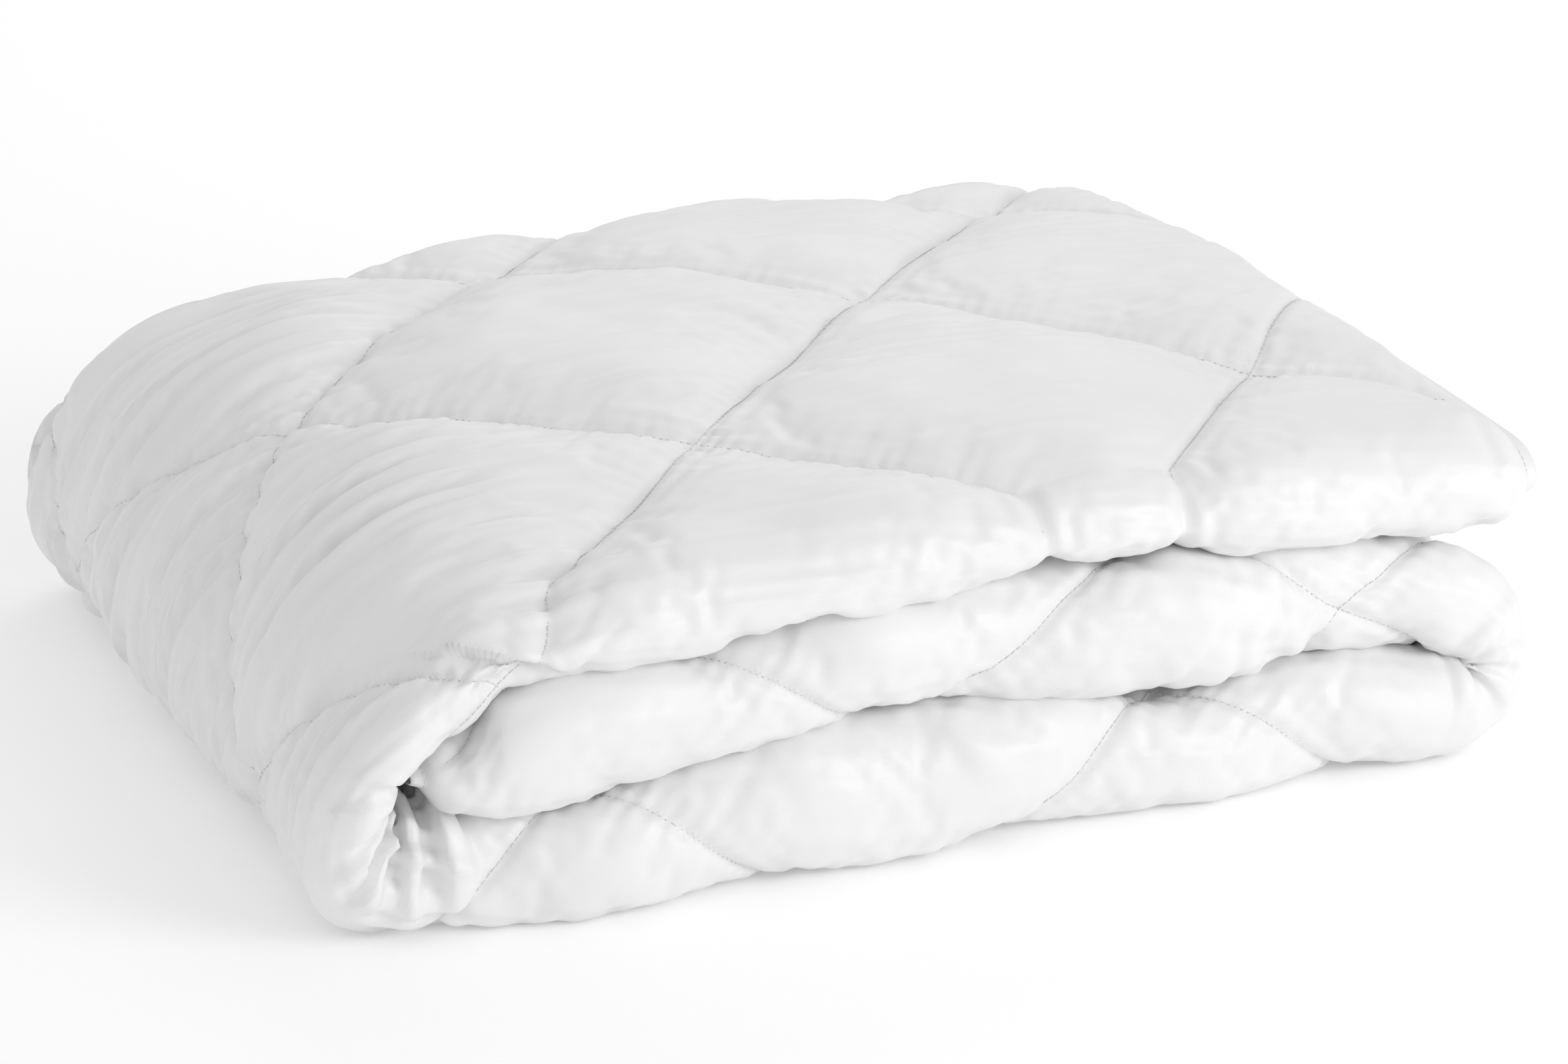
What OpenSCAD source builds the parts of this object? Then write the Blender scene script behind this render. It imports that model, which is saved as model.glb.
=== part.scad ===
// Quilted duvet, folded in thirds across its width and then in thirds along its length.
// The last third and the bend that carries it unroll over the left end on two coupled hinges.
// Sizes are in millimetres. X runs along the folded pack, Y from its front fold to its back,
// Z up from the surface that it lies on.

/* [Pack] */
// length of the folded pack
pack_length = 680; // [520:5:900]
// depth of the folded pack, front fold to back fold
pack_depth = 550; // [400:5:700]
// height from one of the three layers to the next
layer_pitch = 64.5; // [45:0.5:80]

/* [Cloth and filling] */
// slit between neighbouring plies and layers
ply_gap = 0.6; // [0.4:0.1:1.5]
// thickness of each cover cloth with its backing fibres
cloth = 1.0; // [0.6:0.1:2]
// width of the flat sewn hem outside the filling
hem_width = 8; // [5:0.5:14]
// thickness of that hem
hem_thick = 1.6; // [1:0.1:3]

/* [Quilting] */
// half of a diamond along the pack
diamond_half_x = 160; // [110:1:220]
// half of a diamond across the pack
diamond_half_y = 160; // [110:1:220]
// where a crossing lies on the top, from the pack's centre along X
crossing_x = -228; // [-260:1:-180]
// where that crossing lies, from the pack's centre along Y
crossing_y = 36; // [0:1:80]
// width of a stitched line
thread_width = 1.4; // [0.8:0.1:3]
// how proud the thread stands
thread_height = 0.6; // [0.3:0.1:1]

/* [Fold] */
// clearance between the bend and the layers that it joins
hinge_clearance = 0.5; // [0.3:0.1:1.5]
// hollow between the bend and the tucked end of the middle layer
hollow = 28; // [12:1:60]
// how far the top layer stops short of the pack's right end
flap_short = 0; // [0:1:40]

/* [View] */
// the piece to show

/* [Hidden] */
$fn = 96;
eps = 0.01;
layer = layer_pitch - ply_gap;              // one layer of three plies
height = 3 * layer_pitch - ply_gap;         // the three layers
ply_step = layer_pitch / 3;
ply = ply_step - ply_gap;
half_y = pack_depth / 2;
left = -pack_length / 2;
right = pack_length / 2;
bulge = 1.625;                              // the bend's outer radius in layers
wall = left + layer;                        // inner face of the bend
seam_x = wall + hinge_clearance;            // where the layers begin
bend_r = bulge * layer_pitch;
bend_x = left + bend_r;
mid_z = height / 2;
pivot_x = left + layer / 2;
pivot_low = layer / 2;
pivot_high = height - layer / 2;
turn_x = right - layer_pitch + ply_gap / 2; // axis of the right bend
turn_z = layer_pitch - ply_gap / 2;
flap_end = right - flap_short - hem_width;
middle_end = wall + hollow;
// cross-section of a layer: y across, d from the layer's inner face outwards
front_r = layer / 2;
front_in = front_r - ply;
y_front = -half_y + front_r;
back_r = (layer - ply_step) / 2;
back_in = back_r - ply;
y_back = half_y - back_r;
d_back = (layer + ply_step) / 2;
y_free = half_y - hem_width - 5;            // free edge of the innermost ply
white = [0.95, 0.95, 0.96];
fibre = [0.98, 0.97, 0.94];
lined = [0.92, 0.92, 0.93];
sewn = [0.86, 0.86, 0.88];

// flat shapes, drawn as (y, d), or as (d, y) for the part that is turned
module patch(y0, y1, d0, d1) {
    if ($turned) translate([d0 + ply_gap / 2, y0]) square([d1 - d0, y1 - y0]);
    else translate([y0, d0]) square([y1 - y0, d1 - d0]);
}
module disc(y, d, r) {
    if ($turned) translate([d + ply_gap / 2, y]) circle(r);
    else translate([y, d]) circle(r);
}
module half_ring(y, d, outer, inner, front) {
    difference() {
        disc(y, d, outer);
        disc(y, d, inner);
        if (front) patch(y, y + outer + 1, d - outer - 1, d + outer + 1);
        else patch(y - outer - 1, y, d - outer - 1, d + outer + 1);
    }
}

// the outer face of the cloth, all round the folded plies
module face_shape(outside = true) {
    if (outside) patch(y_front, y_back, layer - cloth, layer);
    half_ring(y_front, front_r, front_r, front_r - cloth, true);
    patch(y_front, y_free, 0, cloth);
    patch(y_free - cloth, y_free, 0, ply / 2);
    half_ring(y_back, d_back, back_r, back_r - cloth, false);
    patch(y_front, y_back, ply_step, ply_step + cloth);
    patch(y_front, y_front + cloth, ply_step, ply_step + ply / 2);
}

// the face of the cloth that the folds close in
module lining_shape() {
    patch(y_front, y_back, 2 * ply_step, 2 * ply_step + cloth);
    half_ring(y_front, front_r, front_in + cloth, front_in, true);
    patch(y_front, y_free, ply - cloth, ply);
    patch(y_free - cloth, y_free, ply / 2, ply);
    half_ring(y_back, d_back, back_in + cloth, back_in, false);
    patch(y_front, y_back, ply_step + ply - cloth, ply_step + ply);
    patch(y_front, y_front + cloth, ply_step + ply / 2, ply_step + ply);
}

module wadding_shape(outer = 0) {
    patch(y_front, y_back, 2 * ply_step + cloth, layer - cloth + outer);
    half_ring(y_front, front_r, front_r - cloth, front_in + cloth, true);
    patch(y_front, y_free - cloth, cloth, ply - cloth);
    half_ring(y_back, d_back, back_r - cloth, back_in + cloth, false);
    patch(y_front + cloth, y_back, ply_step + cloth, ply_step + ply - cloth);
}

// everything inside the layer's outline, as the bend's outer skin is cut from it
module outline_shape() {
    patch(y_front, y_back, layer / 2, layer + 40);
    disc(y_front, front_r, front_r);
    disc(y_back, d_back, back_r);
}

module back_hem_shape() {
    patch(y_free, y_free + hem_width, ply / 2 - hem_thick / 2, ply / 2 + hem_thick / 2);
}
module inner_hem_shape() {
    patch(y_front - hem_width, y_front, ply_step + ply / 2 - hem_thick / 2,
          ply_step + ply / 2 + hem_thick / 2);
}

// the hem that closes the plies at a free end, a strip halfway through each ply
module end_hem_shape() {
    low = (ply - hem_thick) / 2;
    high = (ply + hem_thick) / 2;
    patch(y_front, y_back, 2 * ply_step + low, 2 * ply_step + high);
    half_ring(y_front, front_r, front_r - low, front_r - high, true);
    patch(y_front, y_free - cloth, low, high);
    half_ring(y_back, d_back, back_r - low, back_r - high, false);
    patch(y_front + cloth, y_back, ply_step + low, ply_step + high);
}

// a layer along X, with its outer face up or down
module up_layer(x0, x1, z) {
    multmatrix([[0, 0, 1, x0], [1, 0, 0, 0], [0, 1, 0, z], [0, 0, 0, 1]])
        linear_extrude(x1 - x0) { $turned = false; children(); }
}
module down_layer(x0, x1) {
    multmatrix([[0, 0, -1, x1], [1, 0, 0, 0], [0, -1, 0, layer], [0, 0, 0, 1]])
        linear_extrude(x1 - x0) { $turned = false; children(); }
}
module right_turn() {
    multmatrix([[0, 1, 0, turn_x], [0, 0, 1, 0], [1, 0, 0, turn_z], [0, 0, 0, 1]])
        rotate_extrude(angle = 180) { $turned = true; children(); }
}
module base_run() {
    down_layer(seam_x, turn_x) children();
    right_turn() children();
    up_layer(middle_end, turn_x, layer_pitch) children();
}
module wall_run() {
    multmatrix([[0, -1, 0, wall], [1, 0, 0, 0], [0, 0, 1, 0], [0, 0, 0, 1]])
        linear_extrude(height) { $turned = false; children(); }
}
module along_y(x, z, r) {
    translate([x, 0, z]) rotate([90, 0, 0]) cylinder(r = r, h = pack_depth + 20, center = true);
}

// what the round profile and the two pivots leave of the bend
module bend_keep(inset) {
    intersection() {
        children();
        along_y(bend_x, mid_z, bend_r - inset);
        union() {
            along_y(pivot_x, pivot_low, layer / 2);
            along_y(pivot_x, pivot_high, layer / 2);
            translate([left - 30, -half_y - 10, pivot_low])
                cube([layer + 30, pack_depth + 20, pivot_high - pivot_low]);
            translate([left - 30, -half_y - 10, 0])
                cube([pivot_x - left + 30, pack_depth + 20, height]);
        }
    }
}

// stitched lines
run_x = diamond_half_x;
run_y = diamond_half_y;
quarter = PI / 2 * front_r * run_x / run_y;
front_slope = quarter / (2 * front_r);
module slab_x(at, n) {
    translate(at) rotate(a = acos(1 / norm(n)), v = [0, -n[2], n[1]])
        cube([thread_width, 4 * layer, 4 * layer], center = true);
}
module slab_y(at, n) {
    translate(at) rotate(a = acos(1 / norm(n)), v = [n[2], 0, -n[0]])
        cube([5 * layer, thread_width, 5 * layer], center = true);
}
module front_quarter(x0, x1, z, upper) {
    translate([x0, y_front, z]) difference() {
        rotate([0, 90, 0]) cylinder(r = front_r + thread_height, h = x1 - x0);
        translate([-1, 0, 0]) rotate([0, 90, 0]) cylinder(r = front_r, h = x1 - x0 + 2);
        translate([-1, 0, -2 * front_r]) cube([x1 - x0 + 2, 2 * front_r, 4 * front_r]);
        translate([-1, -2 * front_r, upper ? -2 * front_r : 0])
            cube([x1 - x0 + 2, 4 * front_r, 2 * front_r]);
    }
}
// one stitched line round the front fold of a layer, from x at its top, leaning by dir
module front_line(x, dir, z, upper = true, lower = true) {
    m = dir * front_slope;
    mid = x + dir * quarter;
    if (upper) intersection() {
        front_quarter(min(x, mid) - 3, max(x, mid) + 3, z, true);
        slab_x([mid, y_front - front_r, z], [1, m, m]);
    }
    if (lower) intersection() {
        front_quarter(min(mid, mid + dir * quarter) - 3, max(mid, mid + dir * quarter) + 3, z, false);
        slab_x([mid, y_front - front_r, z], [1, -m, m]);
    }
}
function cloth_x(i) = crossing_x + i * run_x;

base_face_low = [0.23, 2.23];
base_face_mid = [0.77, 2.77];
base_face_mid_back = [2.14];

module base_face_cover() color(white) {
    base_run() face_shape();
    up_layer(middle_end, middle_end + cloth, layer_pitch) wadding_shape();
}
module base_wadding() color(fibre) difference() {
    base_run() wadding_shape();
    translate([middle_end - 1, -half_y, layer_pitch]) cube([1 + cloth, pack_depth, layer]);
}
module base_lining() color(lined) base_run() lining_shape();
module base_back_hem() color(white) base_run() back_hem_shape();
module base_inner_hem() color(white) base_run() inner_hem_shape();
module base_end_hem() color(white)
    up_layer(middle_end - hem_width, middle_end, layer_pitch) end_hem_shape();
module base_quilting() color(sewn) intersection() {
    union() {
        for (i = base_face_low) for (dir = [-1, 1])
            front_line(cloth_x(i), dir, layer / 2, true, true);
        for (i = base_face_mid) front_line(cloth_x(i), 1, layer_pitch + layer / 2);
        for (i = base_face_mid_back) front_line(cloth_x(i), -1, layer_pitch + layer / 2);
    }
    translate([seam_x, -half_y - 2, 0]) cube([turn_x - seam_x, pack_depth, height]);
}
module base_hem_stitch() color(sewn) {
    y = y_free + hem_width / 2;
    translate([seam_x, y - 0.5, layer - ply / 2 + hem_thick / 2])
        cube([turn_x - seam_x, 1, thread_height / 2]);
    translate([middle_end, y - 0.5, layer_pitch + ply / 2 + hem_thick / 2])
        cube([turn_x - middle_end, 1, thread_height / 2]);
}

module bend_face_cover() color(white) {
    bend_keep(cloth) wall_run() face_shape(false);
    difference() {
        bend_keep(0) wall_run() outline_shape();
        along_y(bend_x, mid_z, bend_r - cloth);
    }
}
module bend_wadding() color(fibre) bend_keep(cloth) wall_run() wadding_shape(20);
module bend_lining() color(lined) bend_keep(cloth) wall_run() lining_shape();
module bend_back_hem() color(white) bend_keep(cloth) wall_run() back_hem_shape();
module bend_inner_hem() color(white) bend_keep(cloth) wall_run() inner_hem_shape();
bend_arc = (PI / 2 - atan((bend_x - wall) / (1.5 * layer_pitch)) * PI / 180) * bend_r * run_y / run_x;
bend_slope = bend_arc / (layer + 1.5 * layer_pitch);
module bend_shell(upper) {
    difference() {
        translate([bend_x, 0, mid_z]) rotate([90, 0, 0])
            cylinder(r = bend_r + thread_height, h = y_back - y_front, center = true);
        along_y(bend_x, mid_z, bend_r);
        translate([pivot_x + 6, -half_y, -50]) cube([300, pack_depth, height + 100]);
        translate([left - 20, -half_y, upper ? -50 : mid_z]) cube([200, pack_depth, 50 + mid_z]);
    }
}
module bend_line(y, dir) {
    m = dir * bend_slope;
    mid = y + dir * bend_arc;
    if (abs(mid) < y_back + bend_arc) {
        intersection() {
            translate([0, (y_front + y_back) / 2, 0]) bend_shell(true);
            slab_y([left, mid, mid_z], [m, 1, m]);
        }
        intersection() {
            translate([0, (y_front + y_back) / 2, 0]) bend_shell(false);
            slab_y([left, mid, mid_z], [-m, 1, m]);
        }
    }
}
module bend_quilting() color(sewn) {
    step = (wall - crossing_x) / run_x;
    for (k = [-1 : 1]) {
        bend_line(crossing_y + run_y * (step + 2 * k), -1);
        bend_line(crossing_y + run_y * (2 * k - step), 1);
    }
}
module bend_hem_stitch() color(sewn)
    translate([wall - ply / 2 - hem_thick / 2 - thread_height / 2, y_free + hem_width / 2 - 0.5, layer])
        cube([thread_height / 2, 1, height - 2 * layer]);

module flap_face_cover() color(white) {
    up_layer(seam_x, flap_end, 2 * layer_pitch) face_shape();
    up_layer(flap_end - cloth, flap_end, 2 * layer_pitch) wadding_shape();
}
module flap_wadding() color(fibre)
    up_layer(seam_x, flap_end - cloth, 2 * layer_pitch) wadding_shape();
module flap_lining() color(lined) up_layer(seam_x, flap_end, 2 * layer_pitch) lining_shape();
module flap_back_hem() color(white) up_layer(seam_x, flap_end, 2 * layer_pitch) back_hem_shape();
module flap_inner_hem() color(white) up_layer(seam_x, flap_end, 2 * layer_pitch) inner_hem_shape();
module flap_end_hem() color(white)
    up_layer(flap_end, flap_end + hem_width, 2 * layer_pitch) end_hem_shape();
module flap_quilting() color(sewn) {
    tilt = atan(run_y / run_x);
    far = 3 * pack_length;
    intersection() {
        translate([seam_x + 2, y_front, height])
            cube([flap_end - seam_x - 4, y_back - y_front, thread_height]);
        for (k = [-2 : 3]) translate([crossing_x + 2 * k * run_x, crossing_y, height]) {
            rotate([0, 0, tilt]) translate([-far / 2, -thread_width / 2, 0])
                cube([far, thread_width, thread_height]);
            rotate([0, 0, -tilt]) translate([-far / 2, -thread_width / 2, 0])
                cube([far, thread_width, thread_height]);
        }
    }
    // the same lines down the front fold
    drop = (y_front - crossing_y) / run_y;
    for (k = [-1 : 2]) {
        x_minus = crossing_x + run_x * (drop + 2 * k);
        x_plus = crossing_x + run_x * (2 * k - drop);
        if (x_minus - 2 * quarter > seam_x && x_minus < flap_end)
            front_line(x_minus, -1, height - front_r);
        if (x_plus > seam_x && x_plus + 2 * quarter < flap_end)
            front_line(x_plus, 1, height - front_r);
    }
}
module flap_hem_stitch() color(sewn) {
    translate([flap_end + hem_width / 2, y_front, 2 * layer_pitch + 2 * ply_step + ply / 2 + hem_thick / 2])
        cube([1, y_back - y_front, thread_height / 2]);
    translate([seam_x, y_free + hem_width / 2 - 0.5, 2 * layer_pitch + ply / 2 + hem_thick / 2])
        cube([flap_end - seam_x, 1, thread_height / 2]);
}

base_face_cover();
base_wadding();
base_lining();
base_back_hem();
base_inner_hem();
base_end_hem();
base_quilting();
base_hem_stitch();
bend_face_cover();
bend_wadding();
bend_lining();
bend_back_hem();
bend_inner_hem();
bend_quilting();
bend_hem_stitch();
flap_face_cover();
flap_wadding();
flap_lining();
flap_back_hem();
flap_inner_hem();
flap_end_hem();
flap_quilting();
flap_hem_stitch();
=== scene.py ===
import math

import bmesh
import bpy
import numpy as np
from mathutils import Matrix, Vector


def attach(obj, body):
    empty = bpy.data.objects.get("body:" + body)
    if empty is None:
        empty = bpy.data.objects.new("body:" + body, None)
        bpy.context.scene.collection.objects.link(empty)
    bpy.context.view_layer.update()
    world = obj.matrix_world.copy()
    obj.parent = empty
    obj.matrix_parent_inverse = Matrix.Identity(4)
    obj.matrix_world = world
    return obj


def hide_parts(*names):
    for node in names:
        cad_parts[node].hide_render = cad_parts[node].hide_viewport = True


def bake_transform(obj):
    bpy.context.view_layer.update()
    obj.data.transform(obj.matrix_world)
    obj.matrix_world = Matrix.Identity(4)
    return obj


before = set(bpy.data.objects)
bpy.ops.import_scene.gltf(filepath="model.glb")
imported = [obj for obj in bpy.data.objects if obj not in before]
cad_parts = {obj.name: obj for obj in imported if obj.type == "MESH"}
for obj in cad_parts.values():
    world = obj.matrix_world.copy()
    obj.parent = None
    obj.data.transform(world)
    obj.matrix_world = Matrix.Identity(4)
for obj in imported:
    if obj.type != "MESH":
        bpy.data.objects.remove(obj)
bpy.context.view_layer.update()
print("frame loaded")

# the folded pack in millimetres: three plies make a layer, three layers make the pack
pack = {"layer": 63.9, "ply": 21.5, "halfPly": 10.4, "halfDepth": 275, "shiftY": -8, "hem": 8,
        "halfHem": 0.9}
cell = 2.6
hiddenCell = 18.0

# diamonds stitched through the duvet
quilt = {"half": 160, "crossingX": -228, "crossingY": 36, "seamDepth": 5.2, "crown": 5.4, "rise": 78}

frontR = pack["layer"] / 2
backR = (pack["layer"] - pack["ply"]) / 2
frontY = -pack["halfDepth"] + frontR
backY = pack["halfDepth"] - backR
freeY = pack["halfDepth"] - 13
backD = (pack["layer"] + pack["ply"]) / 2

# the way the layers run, seen from the front: inner x, z, outer x, z, cloth distance u,
# shift of the diamonds across, cloth the front fold takes, how far that fold draws back
topRun = [
    (345, 128, 345, 187, 345, 0, 0.08, 4),
    (315, 128, 315, 192, 315, 0, 0.08, 0),
    (253, 131, 253, 193, 252, 0, 0.08, 0),
    (175, 136, 175, 196, 171, 0, 0.08, 0),
    (97, 139, 97, 198, 92, 0, 0.08, 0),
    (0, 141, 0, 197, 0, 0, 0.08, 0),
    (-70, 139, -70, 194, -68, 0, 0.08, 0),
    (-130, 132, -130, 189, -126, 0, 0.1, 0),
    (-185, 127, -190, 181, -183, 0, 0.2, 0),
    (-220, 116, -237, 166, -228, 0, 0.6, 0),
    (-247, 103, -268, 145, -262, 0, 1, 0),
    (-269, 98, -291, 121, -296, 0, 1, 3),
]
bendRun = [
    (-286, 94, -307, 95, -327, 0, 1, 7),
    (-292, 87, -316, 66, -358, 0, 1, 12),
    (-291, 75, -318, 38, -388, 10, 1, 18),
    (-281, 66, -309, 18, -415, 25, 1, 22),
    (-264, 64, -283, 6, -445, 45, 1, 20),
    (-243, 64, -250, 2, -478, 60, 1, 14),
]
bottomRun = [
    (-211, 65, -211, 0, -518, 66, 1, 8),
    (-183, 65, -183, 0, -548, 66, 1, 4),
    (-137, 69, -137, 0, -594, 66, 1, 2),
    (-69, 75, -69, 0, -662, 66, 1, 0),
    (0, 75, 0, 0, -731, 66, 1, 0),
    (65, 72, 65, 0, -797, 66, 1, 0),
    (135, 67, 135, 0, -868, 66, 1, 0),
    (200, 65, 200, 0, -920, 60, 1, 0),
    (245, 61, 245, 0, -956, 50, 1, 0),
]
turnRun = [
    (280, 54, 285, 1, -990, 40, 1, 0),
    (299, 50, 320, 8, -1022, 30, 1, 4),
    (306, 49, 339, 28, -1045, 20, 1, 8),
    (307, 50, 344, 55, -1067, 10, 1, 10),
    (306, 51, 338, 85, -1092, 6, 1, 8),
    (300, 53, 318, 107, -1117, 6, 1, 4),
    (285, 56, 288, 121, -1143, 6, 1, 0),
]
middleRun = [
    (255, 63, 255, 127, -1168, 6, 1, 0),
    (228, 66, 228, 129, -1188, 10, 1, 0),
    (185, 68, 185, 137, -1262, 50, 1, 0),
    (137, 69, 137, 139, -1348, 76, 1, 0),
    (60, 74, 60, 142, -1426, 76, 1, 0),
    (-21, 77, -21, 141, -1508, 66, 1, 0),
    (-100, 75, -100, 132, -1588, 66, 1, 0),
    (-150, 68, -150, 129, -1638, 66, 1, 0),
    (-190, 67, -190, 129, -1678, 66, 1, 0),
    (-220, 67, -220, 124, -1708, 66, 1, 0),
    (-241, 68, -241, 111, -1729, 66, 1, 3),
    (-258, 72, -258, 101, -1746, 66, 1, 7),
    (-273, 79, -273, 95, -1761, 66, 1, 12),
]


def smooth(start, end, value):
    t = np.clip((value - start) / (end - start), 0, 1)
    return t * t * (3 - 2 * t)


def waves(seed, sizeU, sizeV, count=24, spread=1.8):
    # seeded soft noise of about unit height, made of plane waves
    rng = np.random.RandomState(seed)
    angle = rng.uniform(0, 2 * math.pi, count)
    scale = spread ** rng.uniform(-1, 1, count)
    ku = 2 * math.pi * np.cos(angle) / (sizeU * scale)
    kv = 2 * math.pi * np.sin(angle) / (sizeV * scale)
    phase = rng.uniform(0, 2 * math.pi, count)

    def field(u, v):
        total = np.zeros(np.broadcast(u, v).shape)
        for a, b, c in zip(ku, kv, phase):
            total += np.cos(a * u + b * v + c)
        return total * math.sqrt(2 / count)

    return field


def spaced(start, end, step):
    return np.linspace(start, end, max(2, int(round(abs(end - start) / step)) + 1))


def spline(knots, rows, at):
    # a smooth curve through the rows, with slopes from their neighbours
    slope = np.gradient(rows, knots, axis=0)
    k = np.clip(np.searchsorted(knots, at, side="right") - 1, 0, len(knots) - 2)
    width = (knots[k + 1] - knots[k])[:, None]
    t = (at - knots[k])[:, None] / width
    return ((1 + 2 * t) * (1 - t) ** 2 * rows[k] + t * (1 - t) ** 2 * width * slope[k]
            + t * t * (3 - 2 * t) * rows[k + 1] + t * t * (t - 1) * width * slope[k + 1])


def runPath(step):
    # rows along the whole duvet: the eight columns above, then distance from each free end
    rows = np.array(topRun + bendRun + bottomRun + turnRun + middleRun, float)
    apart = np.hypot(*(rows[1:, 2:4] - rows[:-1, 2:4]).T)
    knots = np.concatenate([[0], np.cumsum(apart)])
    ends = np.cumsum([len(topRun), len(bendRun), len(bottomRun), len(turnRun)])
    split = 0.5 * (knots[ends[0]] + knots[ends[0] + 1])
    at = np.concatenate([
        [0, 0.8, 2.5, 5, 7.2], spaced(pack["hem"], split, step),
        spaced(split, knots[-1] - pack["hem"], step)[1:],
        knots[-1] - np.array([7.2, 5, 2.5, 0.8, 0]),
    ])
    path = spline(knots, rows, at)
    cut = int(np.argmin(np.abs(at - split)))
    return path, at, knots[-1] - at, cut


def layerSection(step):
    # a layer across: tucked ply, back roll, outer ply, front roll, inner ply
    # columns: y, depth, normal y, normal depth, v, v taken by the front fold, shown
    ply = pack["ply"]
    rb, rf = backR - pack["halfPly"], frontR - pack["halfPly"]
    hidden = hiddenCell
    rows = []
    for y in spaced(frontY, backY, hidden)[:-1]:
        rows.append((y, 1.5 * ply, 0, -1, backY + math.pi * backR + backY - y, 0, 0))
    for a in spaced(-math.pi / 2, math.pi / 2, step / backR)[:-1]:
        c, s = math.cos(a), math.sin(a)
        rows.append((backY + rb * c, backD + rb * s, c, s, backY + backR * (math.pi / 2 - a), 0, 1))
    for y in spaced(backY, frontY, step)[:-1]:
        rows.append((y, 2.5 * ply, 0, 1, y, 0, 1))
    for a in spaced(math.pi / 2, 1.5 * math.pi, step / frontR)[:-1]:
        c, s = math.cos(a), math.sin(a)
        rows.append((frontY + rf * c, frontR + rf * s, c, s, frontY, frontR * (a - math.pi / 2), 1))
    inner = np.concatenate([
        spaced(frontY, frontY + 60, step)[:-1], spaced(frontY + 60, freeY - 30, 2 * step)[:-1],
        spaced(freeY - 30, freeY, step)[:-1], freeY + np.array([0, 0.8, 3, 5.5, 7.2, 8]),
    ])
    for y in inner:
        shown = 1 - smooth(frontY + 30, frontY + 60, y) + smooth(freeY - 30, freeY - 10, y)
        rows.append((y, 0.5 * ply, 0, -1, 2 * frontY - y, math.pi * frontR, float(max(shown, 0.65))))
    return np.array(rows)


def hemmed(distance):
    # half the thickness of the cloth near an edge: a flat sewn strip, then the filling
    swell = np.clip((distance - pack["hem"]) / 17, 0, 1)
    rounding = np.sqrt(np.clip(1 - (1 - swell) ** 2, 0, 1))
    flat = pack["halfHem"] * np.sqrt(np.clip(distance / 0.8, 0, 1))
    return flat + (pack["halfPly"] - pack["halfHem"]) * rounding


def seamPlaces(u, v):
    # places along the two families of stitched lines, whole on a line, and distances to them
    i = (u - quilt["crossingX"]) / quilt["half"]
    j = (v - quilt["crossingY"]) / quilt["half"]
    a, b = (i - j) / 2, (i + j) / 2
    apart = quilt["half"] * math.sqrt(2)
    return a, b, np.abs(a - np.round(a)) * apart, np.abs(b - np.round(b)) * apart


softFold = waves(3, 170, 120)
crumple = waves(31, 60, 42, 40)
pucker = waves(21, 40, 40, 30, 1.5)
puckerMask = waves(22, 70, 70)


def puff(u, v):
    a, b, edgeA, edgeB = seamPlaces(u, v)

    def rise(edge):
        return 1 - (1 - np.clip(edge / quilt["rise"], 0, 1)) ** 2.4

    # the puffs hide one line at the right end
    edgeA = edgeA + 26 * smooth(1.03, 1.2, b) * (np.abs(a - 2) < 0.5)
    up = -quilt["seamDepth"] + (quilt["seamDepth"] + quilt["crown"]) * rise(edgeA) * rise(edgeB)
    up = up - 3.0 * np.exp(-((np.hypot(edgeA, edgeB) / 18) ** 2))
    # the back corner of the left bend is pulled smooth
    return up * (1 - 0.75 * smooth(-235, -290, u) * smooth(120, 200, v) * smooth(-560, -480, u))


def normalsOf(points):
    along = np.gradient(points, axis=0)
    across = np.gradient(points, axis=1)
    normal = np.cross(along, across)
    return normal / np.maximum(np.linalg.norm(normal, axis=-1, keepdims=True), 1e-9)


def settle(x, y, z):
    # slow shape of the whole pack: crowned top, skewed bend, flat on the floor
    q = (y - 36) / 160
    z = z + smooth(130, 190, z) * (2.5 * q - 3 * q * q - 15 * smooth(0.4, 1.4, q))
    x = x - (5 * q + 6 * smooth(0.6, 1.4, q)) * smooth(-210, -300, x)
    z = np.where(z < 5, 5 * np.exp(np.minimum(z - 5, 0) / 5), z)
    return np.stack([x, y + pack["shiftY"], z], -1)


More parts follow.
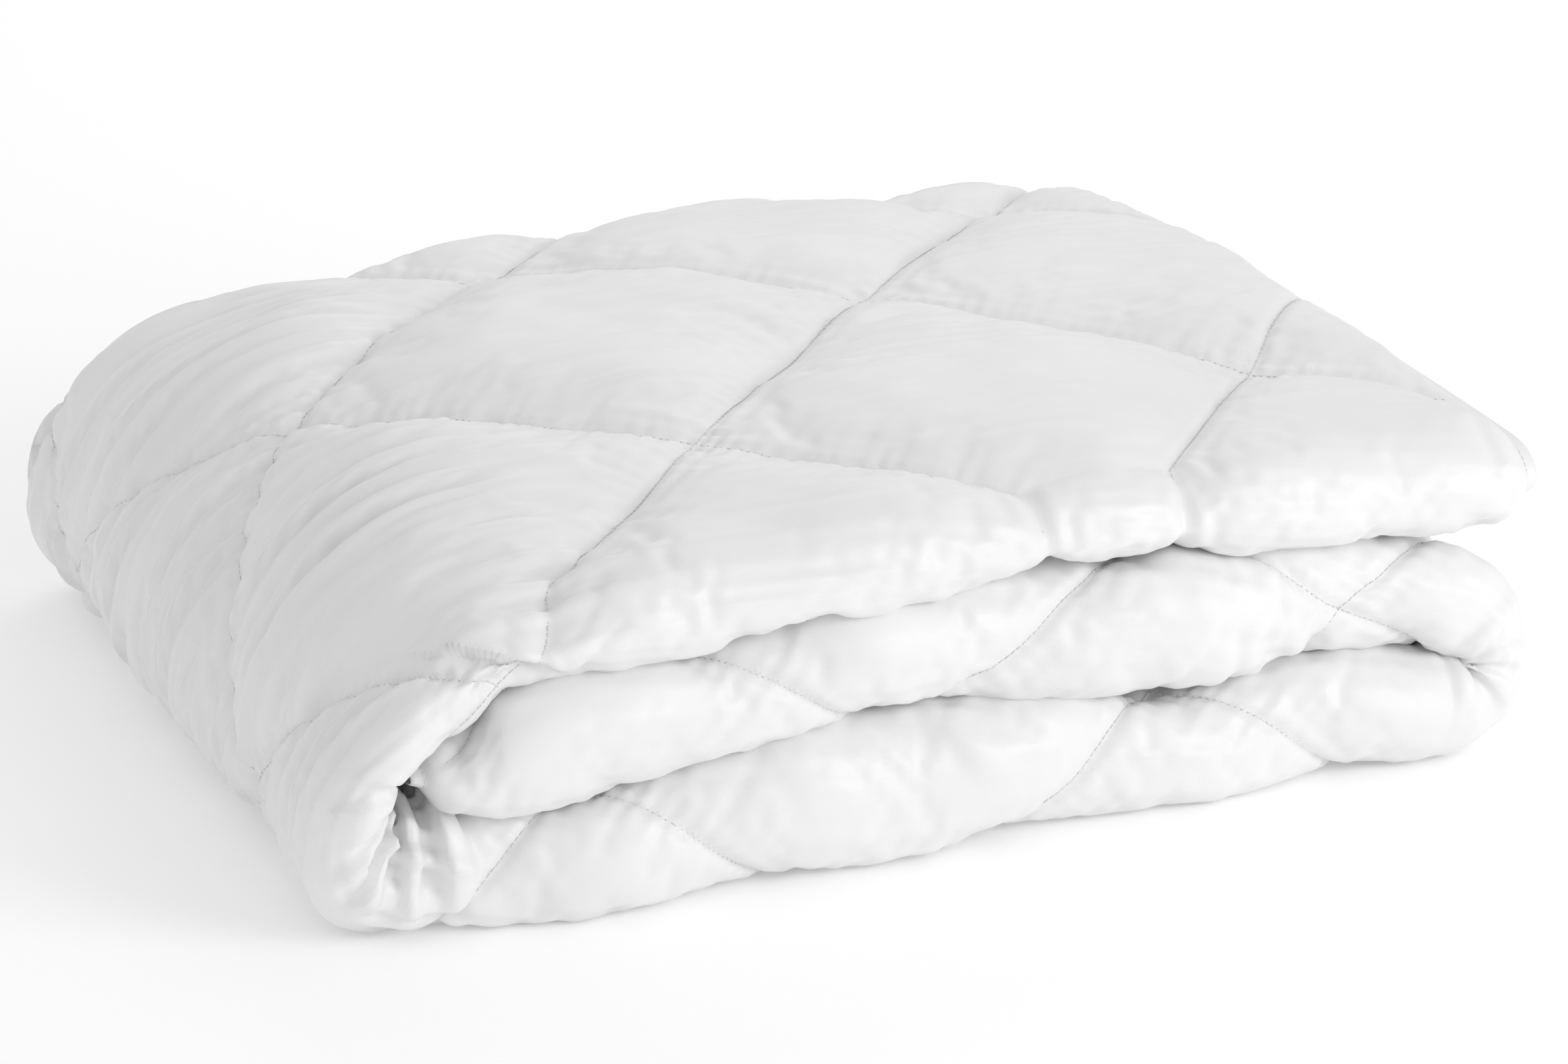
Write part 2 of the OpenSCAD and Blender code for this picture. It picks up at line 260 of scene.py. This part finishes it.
def clothGrid(step):
    # both faces of the duvet as grids, before any wrinkle, with the cloth's own coordinates
    path, at, rest, cut = runPath(step)
    section = layerSection(step)
    ix, iz, ox, oz, u, shift, take, drawn = [path[:, k][:, None] for k in range(8)]
    y, d, ny, nd, v0, fold, shown = [section[:, k][None, :] for k in range(7)]
    turned = np.concatenate([[0], np.cumsum(np.hypot(*np.diff(section[:, :2], axis=0).T))])
    edge = np.minimum(turned, turned[-1] - turned)
    free = np.minimum(at, rest)
    half = np.minimum(hemmed(free)[:, None], hemmed(edge)[None, :])
    half[[0, -1], :] = 0
    half[:, [0, -1]] = 0

    def place(offset):
        depth = (d + nd * offset) / pack["layer"]
        across = y + ny * offset + drawn * smooth(-170, -285, y)
        return settle(ix + (ox - ix) * depth, across, iz + (oz - iz) * depth)

    grid = {
        "u": u + 0 * y, "v": v0 - take * fold + shift, "w": v0 - fold + 0 * u, "fold": fold + 0 * u,
        "path": at, "section": turned, "cut": cut, "free": free[:, None] + 0 * y,
        "edge": edge[None, :] + 0 * u, "y": y + 0 * u, "shown": shown + 0 * u,
    }
    full = smooth(8, 28, grid["free"]) * smooth(8, 26, grid["edge"])
    grid["full"] = full
    outer = place(half)
    # faces that lie on another layer stay flat
    covered = smooth(frontY - 5, frontY + 45, grid["y"])
    isTop = smooth(-1, 1, grid["u"] + 300)
    lies = covered * (1 - isTop)
    lies = lies * smooth(-400, -440, grid["u"]) * (1 - 0.7 * smooth(-985, -1010, grid["u"])
                                                 * (1 - smooth(-1150, -1180, grid["u"])))
    up = puff(grid["u"], grid["v"]) * grid["shown"] * full
    up = up + 1.2 * softFold(grid["u"], grid["v"]) * grid["shown"] * full
    up = up * (1 - 0.85 * lies)
    # the innermost ply is pressed flat between its seams
    pressed = (grid["fold"] > 99) * covered
    up = up - pressed * np.maximum(up - 0.5, 0)
    grid["pressed"] = pressed
    grid["normal"] = normalsOf(outer)
    grid["outer"] = outer + grid["normal"] * up[..., None]
    grid["inner"] = place(-half) + grid["normal"] * np.minimum(up, 0)[..., None]
    return grid


def gridMesh(name, points, closed):
    # a mesh of quads over a grid of points, with each vertex's row and column
    rows, columns = points.shape[:2]
    width = columns if closed else columns - 1
    mesh = bpy.data.meshes.new(name)
    bm = bmesh.new()
    bmesh.ops.create_grid(bm, x_segments=rows - 1, y_segments=width, size=1)
    bm.to_mesh(mesh)
    bm.free()
    flat = np.zeros(len(mesh.vertices) * 3)
    mesh.vertices.foreach_get("co", flat)
    flat = flat.reshape(-1, 3)
    r = np.rint((flat[:, 0] + 1) / 2 * (rows - 1)).astype(int)
    c = np.rint((flat[:, 1] + 1) / 2 * width).astype(int) % columns
    mesh.vertices.foreach_set("co", (points[r, c] / 1000).ravel())
    return mesh, r, c


def gridPiece(name, points, places, sharp):
    # a closed band of cloth from a grid of points, whose last column meets its first
    mesh, r, c = gridMesh(name, points, True)
    place = mesh.attributes.new("clothPlace", "FLOAT_VECTOR", "POINT")
    place.data.foreach_set("vector", (places[r, c] / 1000).ravel())
    row = mesh.attributes.new("clothRow", "INT", "POINT")
    row.data.foreach_set("value", r.astype(np.int32))
    bm = bmesh.new()
    bm.from_mesh(mesh)
    layer = bm.verts.layers.int["clothRow"]
    for edge in bm.edges:
        edge.smooth = not (edge.verts[0][layer] in sharp and edge.verts[1][layer] in sharp)
    border = [vert for vert in bm.verts if vert.is_boundary]
    bmesh.ops.remove_doubles(bm, verts=border, dist=1e-7)
    bmesh.ops.dissolve_degenerate(bm, edges=bm.edges, dist=1e-8)
    bmesh.ops.recalc_face_normals(bm, faces=bm.faces)
    for face in bm.faces:
        face.smooth = True
    bm.to_mesh(mesh)
    bm.free()
    mesh.attributes.remove(mesh.attributes["clothRow"])
    piece = bpy.data.objects.new(name, mesh)
    bpy.context.scene.collection.objects.link(piece)
    return piece


def ringOf(grid, outer):
    return np.concatenate([outer, grid["inner"][:, -2:0:-1]], 1)


# the simulation, and how much of its folds and of its swelling is kept
blow = {"frames": 18, "pressure": 4, "extra": -0.045, "most": 16, "smoothings": 26,
        "folds": 0.42, "swelling": 0.2}


def relax(grid):
    # blow the cloth up a little between its seams, so that it buckles where they hold it
    ring = ringOf(grid, grid["outer"])
    rows, columns = ring.shape[:2]
    mesh, r, c = gridMesh("relaxing", ring, False)
    piece = bpy.data.objects.new("relaxing", mesh)
    bpy.context.scene.collection.objects.link(piece)
    width = grid["outer"].shape[1]
    edgeA, edgeB = seamPlaces(grid["u"], grid["v"])[2:]
    held = (np.minimum(edgeA, edgeB) < 4.5) | (grid["shown"] < 0.6) | (grid["full"] < 0.5)
    held |= (grid["outer"][..., 2] < 2) | (grid["pressed"] > 0.3)
    pinned = np.ones((rows, columns), bool)
    pinned[:, :width] = held
    group = piece.vertex_groups.new(name="held")
    group.add([int(k) for k in np.nonzero(pinned[r, c])[0]], 1, "REPLACE")
    cloth = piece.modifiers.new("cloth", "CLOTH")
    cloth.settings.quality = 4
    cloth.settings.mass = 0.15
    cloth.settings.vertex_group_mass = "held"
    cloth.settings.tension_stiffness = 12
    cloth.settings.compression_stiffness = 12
    cloth.settings.shear_stiffness = 4
    cloth.settings.bending_stiffness = 0.05
    cloth.settings.air_damping = 2
    cloth.settings.use_pressure = True
    cloth.settings.uniform_pressure_force = blow["pressure"]
    cloth.settings.shrink_min = blow["extra"]
    cloth.settings.effector_weights.gravity = 0
    cloth.collision_settings.use_collision = False
    cloth.point_cache.frame_end = blow["frames"]
    for frameNumber in range(1, blow["frames"] + 1):
        bpy.context.scene.frame_set(frameNumber)
    done = piece.evaluated_get(bpy.context.evaluated_depsgraph_get()).data
    moved = np.zeros(len(done.vertices) * 3)
    done.vertices.foreach_get("co", moved)
    back = np.zeros((rows, columns, 3))
    back[r, c] = moved.reshape(-1, 3) * 1000
    delta = (back - ring)[:, :width]
    bpy.context.scene.frame_set(1)
    bpy.data.objects.remove(piece)
    bpy.data.meshes.remove(mesh)
    size = np.linalg.norm(delta, axis=-1, keepdims=True)
    print("relaxed, mean move", round(float(size.mean()), 2), "largest", round(float(size.max()), 2))
    delta = delta * np.minimum(1, blow["most"] / np.maximum(size, 1e-6)) * (grid["full"] > 0.5)[..., None]
    # keep the folds it found, and only a little of the swelling
    swell = delta.copy()
    for again in range(blow["smoothings"]):
        swell[1:-1] = (swell[:-2] + 2 * swell[1:-1] + swell[2:]) / 4
        swell[:, 1:-1] = (swell[:, :-2] + 2 * swell[:, 1:-1] + swell[:, 2:]) / 4
    return blow["folds"] * (delta - swell) + blow["swelling"] * swell


def resample(grid, values, finer):
    rows = spline(grid["path"], values.reshape(len(grid["path"]), -1), finer["path"])
    rows = rows.reshape(len(finer["path"]), len(grid["section"]), -1).transpose(1, 0, 2)
    columns = spline(grid["section"], rows.reshape(len(grid["section"]), -1), finer["section"])
    return columns.reshape(len(finer["section"]), len(finer["path"]), -1).transpose(1, 0, 2)


streak = waves(11, 420, 15, 50, 1.35)
streakMask = waves(12, 170, 60)
faint = waves(13, 260, 12, 50, 1.4)
gather = waves(41, 44, 260, 40, 1.35)
gatherMask = waves(42, 90, 200)
tube = waves(51, 26, 160, 30, 1.25)


def pleat(u, w, start, end, height):
    # one fold that hangs over its other side, growing from its start to its end
    along = np.array(end, float) - np.array(start, float)
    size = np.linalg.norm(along)
    t = ((u - start[0]) * along[0] + (w - start[1]) * along[1]) / size ** 2
    bend = 7 * np.sin(math.pi * np.clip(t, 0, 1))
    e = ((u - start[0]) * -along[1] + (w - start[1]) * along[0]) / size - bend
    grow = smooth(-0.05, 0.5, t) * (1 - smooth(0.8, 1.05, t))
    above, below = np.maximum(e, 0), np.minimum(e, 0)
    over = np.where(e > 0, np.exp(-above / 22) * (1 - np.exp(-above / 2.5)),
                    -0.9 * np.exp(below / 13) * (1 - 0.5 * np.exp(below / 1.5)))
    return height * grow * over


# heights of the fine relief, in millimetres
heights = {"groove": 1.5, "pucker": 0.75, "hoop": 2.8, "faint": 0.28, "gather": 2.0,
           "bendTuck": 5.2, "turnTuck": 2.4, "pleat": 7, "crumple": 0.3}


def wrinkles(grid):
    # fine relief of the cloth, in millimetres along its normal
    u, v, w, fold = grid["u"], grid["v"], grid["w"], grid["fold"]
    a, b, edgeA, edgeB = seamPlaces(u, v)
    apart = quilt["half"] * math.sqrt(2)
    near = np.minimum(edgeA, edgeB)
    cross = np.hypot(edgeA, edgeB)
    up = -heights["groove"] * np.exp(-((near / 2.8) ** 2))
    # short puckers drawn in by the thread, strongest at the crossings
    strength = 0.45 + 0.55 * smooth(-0.8, 1.2, puckerMask(u, v)) + 1.5 * np.exp(-cross / 32)
    lineA = np.cos(2 * math.pi * b * apart / 11.5 + 1.6 * pucker(b * apart, a * 20))
    lineB = np.cos(2 * math.pi * a * apart / 10.5 + 1.6 * pucker(a * apart + 300, b * 20))
    up += heights["pucker"] * strength * lineA * np.exp(-edgeA / 9) * (1 - np.exp(-edgeA / 2))
    up += heights["pucker"] * strength * lineB * np.exp(-edgeB / 9) * (1 - np.exp(-edgeB / 2))
    # long thin hoops on the left bend, fading onto the top
    onBend = smooth(-90, -260, u) * smooth(-520, -420, u)
    hoop = np.tanh(1.3 * streak(u + 0.35 * w, w + 0.12 * u))
    hoop *= 0.35 + 0.95 * smooth(-0.5, 1.1, streakMask(u, v))
    up += heights["hoop"] * onBend * hoop
    up += heights["faint"] * faint(u - 0.5 * w, w + 0.15 * u) * smooth(0, 30, near)
    # slanted gathers at the creases of the front folds
    lower = np.exp(-(((fold - 78) / 22) ** 2))
    upper = np.exp(-(((fold - 14) / 20) ** 2)) * smooth(-440, -480, u)
    slanted = np.tanh(1.2 * gather(u + 0.55 * w, w))
    slanted *= 0.4 + 0.6 * smooth(-0.8, 0.8, gatherMask(u, v))
    up += heights["gather"] * (lower + 0.7 * upper) * slanted
    # tube-like puckers round the front end of the bend
    atBend = smooth(-300, -345, u) * (1 - smooth(-470, -500, u))
    bendTucks = np.tanh(1.2 * tube(u + 0.3 * w, w))
    up += heights["bendTuck"] * atBend * smooth(15, 60, fold) * bendTucks
    # V-shaped tucks round the front end of the right bend
    atTurn = smooth(-990, -1020, u) * (1 - smooth(-1105, -1140, u))
    turnTucks = np.tanh(1.3 * tube(u - 0.5 * w, w))
    up += heights["turnTuck"] * atTurn * smooth(10, 50, fold) * turnTucks
    up += pleat(u, w, (-270, -226), (-182, -336), heights["pleat"])
    up += heights["crumple"] * crumple(u, w)
    # the crease at the left bend is squeezed, so it stays calm there
    calm = smooth(58, 76, fold) * smooth(-150, -190, u) * smooth(-330, -300, u)
    return up * grid["shown"] * grid["full"] * (1 - 0.4 * grid["pressed"]) * (1 - 0.8 * calm)


print("shaping")
coarse = clothGrid(6.5)
delta = relax(coarse)
grid = clothGrid(cell)
grid["outer"] = grid["outer"] + resample(coarse, delta, grid)
normal = normalsOf(grid["outer"])
relief = wrinkles(grid)
grid["outer"] = grid["outer"] + normal * relief[..., None]
height = grid["outer"][..., 2]
grid["outer"][..., 2] = np.where(height < 3, 3 * np.exp(np.minimum(height - 3, 0) / 3), height)
grid["normal"] = normalsOf(grid["outer"])
grid["inner"] = grid["inner"] + normal * np.minimum(relief, 0)[..., None]
grid["middle"] = (grid["outer"] + grid["inner"]) / 2
print("grid", grid["outer"].shape)

# the pieces: each is a part of the same grid, so neighbours meet exactly
last = grid["outer"].shape[0] - 1
hemRow = int(np.argmin(np.abs(grid["path"] - pack["hem"])))
hemEnd = int(np.argmin(np.abs(grid["path"][-1] - grid["path"] - pack["hem"])))
cut = grid["cut"]
turn = int(np.argmin(np.abs(grid["u"][:, 0] + 1067)))


def ringPart(name, start, end):
    # one run of the duvet; its cut ends are closed by the points halfway through the cloth
    rows = slice(start, end + 1)
    parts = [ringOf(grid, grid["outer"])[rows]]
    middle = np.concatenate([grid["middle"], grid["middle"][:, -2:0:-1]], 1)[rows]
    place = np.stack([grid["u"], grid["w"], 0 * grid["u"]], -1)
    places = [np.concatenate([place, place[:, -2:0:-1]], 1)[rows]]
    sharp = []
    if start > 0:
        parts.insert(0, middle[:1])
        places.insert(0, places[0][:1])
        sharp.append(1)
    if end < last:
        parts.append(middle[-1:])
        places.append(places[-1][-1:])
        sharp.append(sum(len(part) for part in parts) - 2)
    return gridPiece(name, np.concatenate(parts), np.concatenate(places), sharp)


covers = {
    "upper": ringPart("upperCover", hemRow, cut),
    "lower": ringPart("lowerCover", cut, turn),
    "middle": ringPart("middleCover", turn, hemEnd),
    "flapHem": ringPart("flapEndHem", 0, hemRow),
    "tuckedHem": ringPart("tuckedEndHem", hemEnd, last),
}
for name, piece in covers.items():
    print(name, len(piece.data.polygons), "faces")


def threadAlong(name, lines, length, gap, radius, rise):
    # a row of short stitches along each line of points: one stitch is made, then copied
    bm = bmesh.new()
    bmesh.ops.create_cone(bm, cap_ends=True, segments=6, radius1=1, radius2=1, depth=1)
    stitch = bpy.data.meshes.new("stitch")
    bm.to_mesh(stitch)
    bm.free()
    shape = np.array([vert.co[:] for vert in stitch.vertices])
    sides = [tuple(polygon.vertices) for polygon in stitch.polygons]
    bpy.data.meshes.remove(stitch)
    spots, faces = [], []
    for points, normals in lines:
        step = np.linalg.norm(np.diff(points, axis=0), axis=1)
        keep = np.concatenate([[True], step > 1e-6])
        points, normals = points[keep], normals[keep]
        if len(points) < 4:
            continue
        at = np.concatenate([[0], np.cumsum(np.linalg.norm(np.diff(points, axis=0), axis=1))])
        start = np.arange(gap, at[-1] - length - gap, length + gap)
        first, second, lift = [np.stack([np.interp(start + way, at, values[:, k]) for k in range(3)], -1)
                               for way, values in ((0, points), (length, points), (length / 2, normals))]
        way = second - first
        size = np.linalg.norm(way, axis=1, keepdims=True)
        good = (size[:, 0] > 0.5 * length)
        first, second, lift, way, size = [x[good] for x in (first, second, lift, way, size)]
        along = way / size
        side = np.cross(along, lift)
        side = side / np.maximum(np.linalg.norm(side, axis=1, keepdims=True), 1e-6)
        up = np.cross(side, along)
        spot = (first + second) / 2 + up * rise
        for k in range(len(spot)):
            base = len(spots) * len(shape)
            spots.append(spot[k] + radius * (shape[:, :1] * side[k] + shape[:, 1:2] * up[k])
                         + size[k] * shape[:, 2:] * along[k])
            faces += [tuple(base + n for n in one) for one in sides]
    mesh = bpy.data.meshes.new(name)
    mesh.from_pydata((np.concatenate(spots) / 1000).tolist(), [], faces)
    for polygon in mesh.polygons:
        polygon.use_smooth = True
    piece = bpy.data.objects.new(name, mesh)
    bpy.context.scene.collection.objects.link(piece)
    return piece


def seamLines(start, end, final):
    # the stitched lines as rows of points, where a whole number is crossed along each grid row
    found = []
    first = int(np.argmax(grid["shown"][0] > 0))
    rows = slice(start, end + 1)
    place, lift = grid["outer"][rows, first:final], grid["normal"][rows, first:final]
    visible = grid["full"][rows, first:final]
    for field in seamPlaces(grid["u"][rows, first:final], grid["v"][rows, first:final])[:2]:
        for whole in range(int(math.floor(field.min())), int(math.ceil(field.max())) + 1):
            side = field - whole
            change = side[:, :-1] * side[:, 1:] <= 0
            spots, lifts = [], []
            for r in range(len(side)):
                hits = np.nonzero(change[r])[0]
                if len(hits) and visible[r, hits[0]] > 0.2:
                    c = hits[0]
                    t = side[r, c] / (side[r, c] - side[r, c + 1] + 1e-9)
                    spots.append(place[r, c] * (1 - t) + place[r, c + 1] * t)
                    lifts.append(lift[r, c] * (1 - t) + lift[r, c + 1] * t)
                elif spots:
                    found.append((np.array(spots), np.array(lifts)))
                    spots, lifts = [], []
            if spots:
                found.append((np.array(spots), np.array(lifts)))
    return found


# rows of stitches: length, gap, radius and rise of one stitch, in millimetres
quiltStitch = (2.6, 1.1, 0.28, 0.25)
hemStitch = (2.4, 1.2, 0.25, 0.15)
foldEnd = int(np.argmax(grid["fold"][0] > 99))
threads = {
    "upper": threadAlong("upperQuilting", seamLines(hemRow, cut, foldEnd + 400), *quiltStitch),
    "lower": threadAlong("lowerQuilting", seamLines(cut, turn, foldEnd + 14), *quiltStitch),
    "middle": threadAlong("middleQuilting", seamLines(turn, hemEnd, foldEnd + 14), *quiltStitch),
}
hemLine = grid["outer"][hemRow - 1, 1:-1], grid["normal"][hemRow - 1, 1:-1]
tuckLine = grid["outer"][hemEnd + 1, 1:-1], grid["normal"][hemEnd + 1, 1:-1]
hemStitches = {
    "upper": threadAlong("flapHemStitch", [hemLine], *hemStitch),
    "lower": threadAlong("tuckedHemStitch", [tuckLine], *hemStitch),
}
print("threads", [len(piece.data.polygons) for piece in threads.values()])


def clothMaterial(name, pale, dark, roughness, sheen, weave):
    # sateen: long floats of thread, a faint crinkle, a soft sheen
    material = bpy.data.materials.new(name)
    material.use_nodes = True
    nodes, links = material.node_tree.nodes, material.node_tree.links
    shader = nodes["Principled BSDF"]
    shader.inputs["Sheen Weight"].default_value = sheen
    shader.inputs["Sheen Roughness"].default_value = 0.4
    shader.inputs["Specular IOR Level"].default_value = 0.45
    if weave:
        place = nodes.new("ShaderNodeAttribute")
        place.attribute_name = "clothPlace"
        coordinates = place.outputs["Vector"]
    else:
        coordinates = nodes.new("ShaderNodeTexCoord").outputs["Object"]

    def noise(scale, size, detail):
        mapping = nodes.new("ShaderNodeMapping")
        mapping.inputs["Scale"].default_value = scale
        links.new(coordinates, mapping.inputs["Vector"])
        texture = nodes.new("ShaderNodeTexNoise")
        texture.inputs["Scale"].default_value = size
        texture.inputs["Detail"].default_value = detail
        links.new(mapping.outputs["Vector"], texture.inputs["Vector"])
        return texture.outputs["Fac"]

    def ramp(source, low, high, start=0.3, end=0.7):
        node = nodes.new("ShaderNodeMapRange")
        node.inputs["From Min"].default_value = start
        node.inputs["From Max"].default_value = end
        node.inputs["To Min"].default_value = low
        node.inputs["To Max"].default_value = high
        links.new(source, node.inputs["Value"])
        return node.outputs["Result"]

    def bump(source, strength, distance, under=None):
        node = nodes.new("ShaderNodeBump")
        node.inputs["Strength"].default_value = strength
        node.inputs["Distance"].default_value = distance
        links.new(source, node.inputs["Height"])
        if under:
            links.new(under, node.inputs["Normal"])
        return node.outputs["Normal"]

    mix = nodes.new("ShaderNodeMix")
    mix.data_type = "RGBA"
    mix.inputs["A"].default_value = dark
    mix.inputs["B"].default_value = pale
    links.new(ramp(noise((1, 1, 1), 9, 3), 0, 1), mix.inputs["Factor"])
    links.new(mix.outputs["Result"], shader.inputs["Base Color"])
    links.new(ramp(noise((1, 1.6, 1), 45, 4), roughness - 0.05, roughness + 0.05),
              shader.inputs["Roughness"])
    crinkle = bump(noise((0.35, 1, 1), 170, 3), 0.16, 0.0009)
    warp = bump(noise((0.09, 1, 1), 2600, 1), 0.14, 0.0003, crinkle)
    weft = bump(noise((1, 0.09, 1), 2600, 1), 0.10, 0.0003, warp)
    links.new(weft, shader.inputs["Normal"])
    return material


cloth = clothMaterial("whiteSateen", (0.83, 0.83, 0.835, 1), (0.80, 0.80, 0.805, 1), 0.45, 0.22, True)
sewing = clothMaterial("sewingThread", (0.76, 0.76, 0.77, 1), (0.70, 0.70, 0.71, 1), 0.6, 0.1, False)
for piece in covers.values():
    piece.data.materials.append(cloth)
for piece in list(threads.values()) + list(hemStitches.values()):
    piece.data.materials.append(sewing)

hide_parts("base_face_cover", "base_wadding", "bend_face_cover", "bend_wadding",
            "bend_lining", "bend_back_hem", "bend_inner_hem")
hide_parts("base_lining", "base_back_hem", "base_inner_hem")
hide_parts("flap_face_cover", "flap_wadding", "flap_lining", "flap_back_hem",
            "flap_inner_hem")
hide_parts("flap_end_hem")
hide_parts("base_end_hem")
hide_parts("flap_quilting", "bend_quilting")
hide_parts("base_quilting")
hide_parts("flap_hem_stitch", "bend_hem_stitch")
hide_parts("base_hem_stitch")
for piece in (covers["lower"], threads["lower"]):
    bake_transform(piece)
for piece in (covers["upper"], threads["upper"]):
    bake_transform(piece)
for piece in (covers["flapHem"], hemStitches["upper"]):
    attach(piece, "top_flap")
for piece in (covers["middle"], threads["middle"], covers["tuckedHem"], hemStitches["lower"]):
    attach(piece, "base")

# floor, camera and light
floorMesh = bpy.data.meshes.new("floor")
bm = bmesh.new()
bmesh.ops.create_grid(bm, x_segments=1, y_segments=1, size=6)
bm.to_mesh(floorMesh)
bm.free()
floor = bpy.data.objects.new("floor", floorMesh)
floor.location = (0, 0, -0.0004)
bpy.context.scene.collection.objects.link(floor)
floorMaterial = bpy.data.materials.new("paleFloor")
floorMaterial.use_nodes = True
floorShader = floorMaterial.node_tree.nodes["Principled BSDF"]
floorShader.inputs["Base Color"].default_value = (0.97, 0.97, 0.97, 1)
floorShader.inputs["Roughness"].default_value = 0.9
floorShader.inputs["Emission Color"].default_value = (1, 1, 1, 1)
floorShader.inputs["Emission Strength"].default_value = 0.13
floorMesh.materials.append(floorMaterial)

cameraData = bpy.data.cameras.new("camera")
cameraData.lens = 85.2
cameraData.sensor_width = 36
camera = bpy.data.objects.new("camera", cameraData)
camera.location = (-0.7258, -1.7698, 0.8246)
camera.rotation_euler = (math.radians(90 - 21.36), 0, math.radians(-23.29))
bpy.context.scene.collection.objects.link(camera)
bpy.context.scene.camera = camera


def areaLight(name, place, aim, width, depth, power):
    data = bpy.data.lights.new(name, "AREA")
    data.shape = "RECTANGLE"
    data.size, data.size_y = width, depth
    data.energy = power
    lamp = bpy.data.objects.new(name, data)
    lamp.location = place
    lamp.rotation_euler = (Vector(aim) - Vector(place)).to_track_quat("-Z", "Y").to_euler()
    bpy.context.scene.collection.objects.link(lamp)


areaLight("key", (1.8, -2.6, 1.4), (0.05, -0.05, 0.1), 1.3, 1.3, 37)
areaLight("back", (0.9, 1.9, 1.5), (0, 0, 0.1), 1.6, 1.6, 7)
world = bpy.data.worlds.new("studio")
world.use_nodes = True
world.node_tree.nodes["Background"].inputs["Color"].default_value = (1, 1, 1, 1)
world.node_tree.nodes["Background"].inputs["Strength"].default_value = 0.72
bpy.context.scene.world = world

bpy.context.scene.view_settings.view_transform = "Standard"
